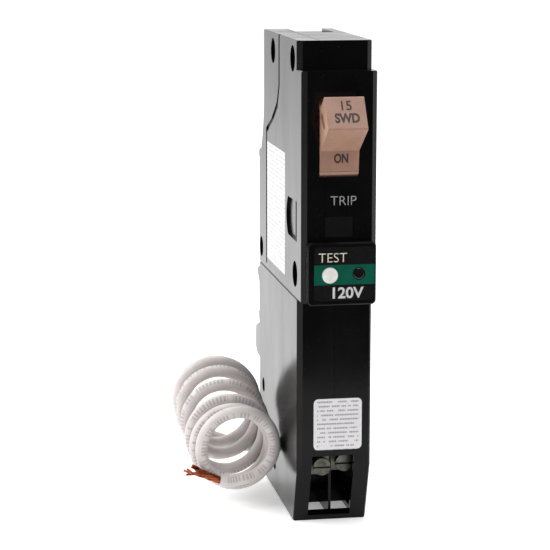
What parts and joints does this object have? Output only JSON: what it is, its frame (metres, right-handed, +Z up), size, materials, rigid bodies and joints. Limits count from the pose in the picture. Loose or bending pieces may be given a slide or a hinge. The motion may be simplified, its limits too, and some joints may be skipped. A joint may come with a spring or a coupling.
{
  "type": "gfci breaker",
  "caption": "Narrow single-pole ground-fault circuit breaker with a rocking handle, test button, box-lug load terminals, bus-stab jaw and a coiled neutral pigtail.",
  "frame": {"origin": "middle of the foot of the breaker, without the pigtail", "axes": "+X across the width to the right as seen from the handle side, +Y from the handle towards the panel, +Z up from the load end to the line end"},
  "size_m": [0.0454, 0.0818, 0.1243],
  "materials": {
    "case_moulding": "gloss",
    "fibre_sheet": "matt",
    "nameplate_film": "gloss",
    "paper_label": "satin",
    "handle_moulding": "satin",
    "button_moulding": "satin",
    "smoked_window": "gloss",
    "led_lens": "gloss",
    "board_laminate": "satin",
    "component_moulding": "matt",
    "varistor_coating": "gloss",
    "bobbin_nylon": "satin",
    "enamelled_wire": "satin",
    "ferrite": "matt",
    "wire_insulation": "satin",
    "bare_copper": "satin",
    "silver_contact": "satin",
    "bimetal_strip": "satin",
    "zinc_plated_steel": "satin"
  },
  "bodies": {
    "root": {"arc_chute_sides": "fibre_sheet", "arc_plates": "zinc_plated_steel", "arm_pin": "zinc_plated_steel", "base_shell": "case_moulding", "bimetal": "bimetal_strip", "board_components": "component_moulding", "button_spring": "zinc_plated_steel", "calibration_screw": "zinc_plated_steel", "circuit_board": "board_laminate", "copper_end": "bare_copper", "cord_coil": "wire_insulation", "cord_gland": "case_moulding", "cradle_pin": "zinc_plated_steel", "divider_sheet": "fibre_sheet", "fixed_contact": "silver_contact", "flexible_braid": "bare_copper", "front_label": "paper_label", "handle_pin": "zinc_plated_steel", "indicator_led": "led_lens", "jaw_spring": "zinc_plated_steel", "latch_pin": "zinc_plated_steel", "light_pipe": "smoked_window", "line_jaw": "bare_copper", "line_strap": "bare_copper", "load_strap": "bare_copper", "lower_cover": "case_moulding", "magnet_yoke": "zinc_plated_steel", "nameplate_label": "nameplate_film", "neutral_cord": "wire_insulation", "neutral_lead": "wire_insulation", "neutral_strap": "bare_copper", "push_switch": "case_moulding", "rivets": "zinc_plated_steel", "side_label": "paper_label", "solenoid_bobbin": "bobbin_nylon", "solenoid_frame": "zinc_plated_steel", "solenoid_winding": "enamelled_wire", "switch_board": "board_laminate", "terminal_lug_1": "zinc_plated_steel", "terminal_lug_2": "zinc_plated_steel", "test_bezel": "case_moulding", "toroid_core": "ferrite", "toroid_winding": "enamelled_wire", "trip_window": "smoked_window", "upper_cover": "case_moulding", "varistor": "varistor_coating"},
    "handle": {"handle": "handle_moulding"},
    "contact_arm": {"contact_arm": "bare_copper", "moving_contact": "silver_contact", "toggle_spring": "zinc_plated_steel"},
    "cradle": {"cradle": "zinc_plated_steel", "trip_flag": "zinc_plated_steel"},
    "latch": {"latch_armature": "zinc_plated_steel"},
    "plunger": {"solenoid_plunger": "zinc_plated_steel"},
    "button": {"test_button": "button_moulding"},
    "clamp_1": {"clamp_pad_1": "zinc_plated_steel"},
    "screw_1": {"terminal_screw_1": "zinc_plated_steel"},
    "clamp_2": {"clamp_pad_2": "zinc_plated_steel"},
    "screw_2": {"terminal_screw_2": "zinc_plated_steel"}
  },
  "joints": [
    {"name": "handle_rock", "type": "hinge", "parent": "root", "child": "handle", "pos_m": [0, -0.01661, 0.101], "axis": [1, 0, 0], "range_deg": [0, 28]},
    {"name": "contact_swing", "type": "hinge", "parent": "root", "child": "contact_arm", "pos_m": [0.004, 0.00539, 0.07], "axis": [1, 0, 0], "range_deg": [0, 20.1], "deforming": ["toggle_spring", "flexible_braid"]},
    {"name": "plunger_travel", "type": "slide", "parent": "root", "child": "plunger", "axis": [0, 1, 0], "range_m": [0, 0.002], "stiffness_N_per_m": 150, "springref_m": -0.0005},
    {"name": "latch_swing", "type": "hinge", "parent": "root", "child": "latch", "pos_m": [0.002, 0.01789, 0.034], "axis": [1, 0, 0], "range_deg": [-5.6, 0]},
    {"name": "cradle_drop", "type": "hinge", "parent": "root", "child": "cradle", "pos_m": [0, -0.00861, 0.084], "axis": [1, 0, 0], "range_deg": [-10.2, 0]},
    {"name": "button_press", "type": "slide", "parent": "root", "child": "button", "axis": [0, 1, 0], "range_m": [0, 0.0015], "stiffness_N_per_m": 300, "springref_m": -0.0005, "deforming": ["button_spring"]},
    {"name": "clamp_1_travel", "type": "slide", "parent": "root", "child": "clamp_1", "axis": [0, 1, 0], "range_m": [0, 0.0035]},
    {"name": "screw_1_turn", "type": "hinge", "parent": "clamp_1", "child": "screw_1", "pos_m": [-0.00255, -0.01671, 0.015], "axis": [0, 1, 0], "range_deg": [0, 1576]},
    {"name": "clamp_2_travel", "type": "slide", "parent": "root", "child": "clamp_2", "axis": [0, 1, 0], "range_m": [0, 0.0035]},
    {"name": "screw_2_turn", "type": "hinge", "parent": "clamp_2", "child": "screw_2", "pos_m": [0.00395, -0.01361, 0.015], "axis": [0, 1, 0], "range_deg": [0, 1576]}
  ],
  "couplings": [
    {"joint": "contact_swing", "follows": "handle_rock", "ratio": 0.71429},
    {"joint": "latch_swing", "follows": "plunger_travel", "rad_per_m": -47.997},
    {"joint": "cradle_drop", "follows": "plunger_travel", "rad_per_m": -87.266},
    {"joint": "screw_1_turn", "follows": "clamp_1_travel", "rad_per_m": 7854},
    {"joint": "screw_2_turn", "follows": "clamp_2_travel", "rad_per_m": 7854}
  ]
}
